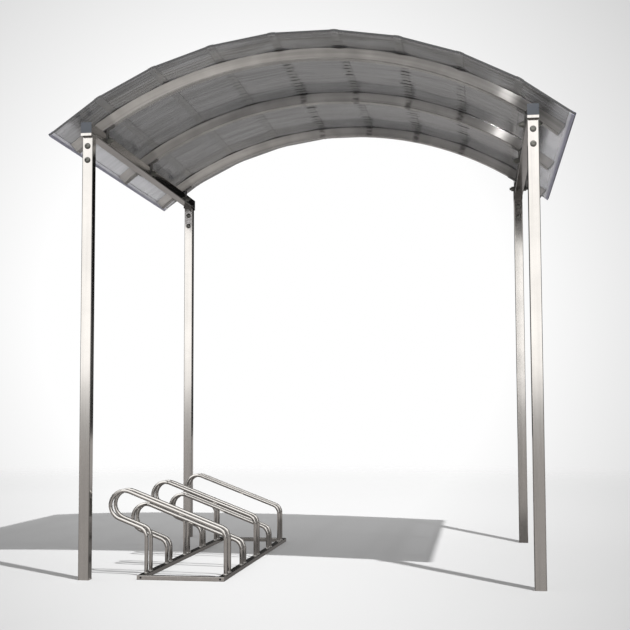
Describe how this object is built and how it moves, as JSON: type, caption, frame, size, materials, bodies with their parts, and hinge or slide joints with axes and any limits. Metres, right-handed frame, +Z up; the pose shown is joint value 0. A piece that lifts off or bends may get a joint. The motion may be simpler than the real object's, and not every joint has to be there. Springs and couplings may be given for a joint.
{
  "type": "bike shelter",
  "caption": "Open bike shelter: slim square posts, front-to-rear eave beams and rolled ribs carry an arched smoky roof of flat panels, over a low rack of looped wheel holders.",
  "frame": {"origin": "on the ground, midway between the four posts", "axes": "+Z up, +X across the arch to the right seen from the front, +Y from the front to the rear along the eave beams"},
  "size_m": [2.3624, 2.15, 2.4485],
  "materials": {
    "post_steel": "polished stainless steel",
    "frame_steel": "polished stainless steel",
    "rack_steel": "polished stainless steel",
    "roof_sheet": "smoky translucent twin-wall sheet",
    "joiner_plastic": "dark translucent joining profile",
    "eave_aluminium": "pale blue-grey anodised",
    "cap_plastic": "dark blue-grey moulded plastic"
  },
  "bodies": {
    "root": {"post_front_left": "post_steel", "post_front_right": "post_steel", "post_rear_left": "post_steel", "post_rear_right": "post_steel", "head_plate_front_left": "frame_steel", "head_plate_front_right": "frame_steel", "head_plate_rear_left": "frame_steel", "head_plate_rear_right": "frame_steel", "beam_cap_front_left": "cap_plastic", "beam_cap_front_right": "cap_plastic", "beam_cap_rear_left": "cap_plastic", "beam_cap_rear_right": "cap_plastic", "eave_beam_left": "frame_steel", "eave_beam_right": "frame_steel", "rib_front": "frame_steel", "rib_middle": "frame_steel", "rib_rear": "frame_steel", "rib_end_caps": "cap_plastic", "rib_brackets_left": "frame_steel", "rib_brackets_right": "frame_steel", "roof_panel_1": "roof_sheet", "roof_panel_2": "roof_sheet", "roof_panel_3": "roof_sheet", "roof_panel_4": "roof_sheet", "roof_panel_5": "roof_sheet", "roof_panel_6": "roof_sheet", "roof_panel_7": "roof_sheet", "roof_panel_8": "roof_sheet", "roof_panel_9": "roof_sheet", "roof_joiners": "joiner_plastic", "eave_profile_left": "eave_aluminium", "eave_profile_right": "eave_aluminium", "rack_rail_left": "rack_steel", "rack_rail_right": "rack_steel", "rack_bar_front": "rack_steel", "rack_bar_rear": "rack_steel", "wheel_holder_1": "rack_steel", "wheel_holder_2": "rack_steel", "wheel_holder_3": "rack_steel", "wheel_holder_4": "rack_steel", "wheel_holder_5": "rack_steel"}
  },
  "joints": []
}
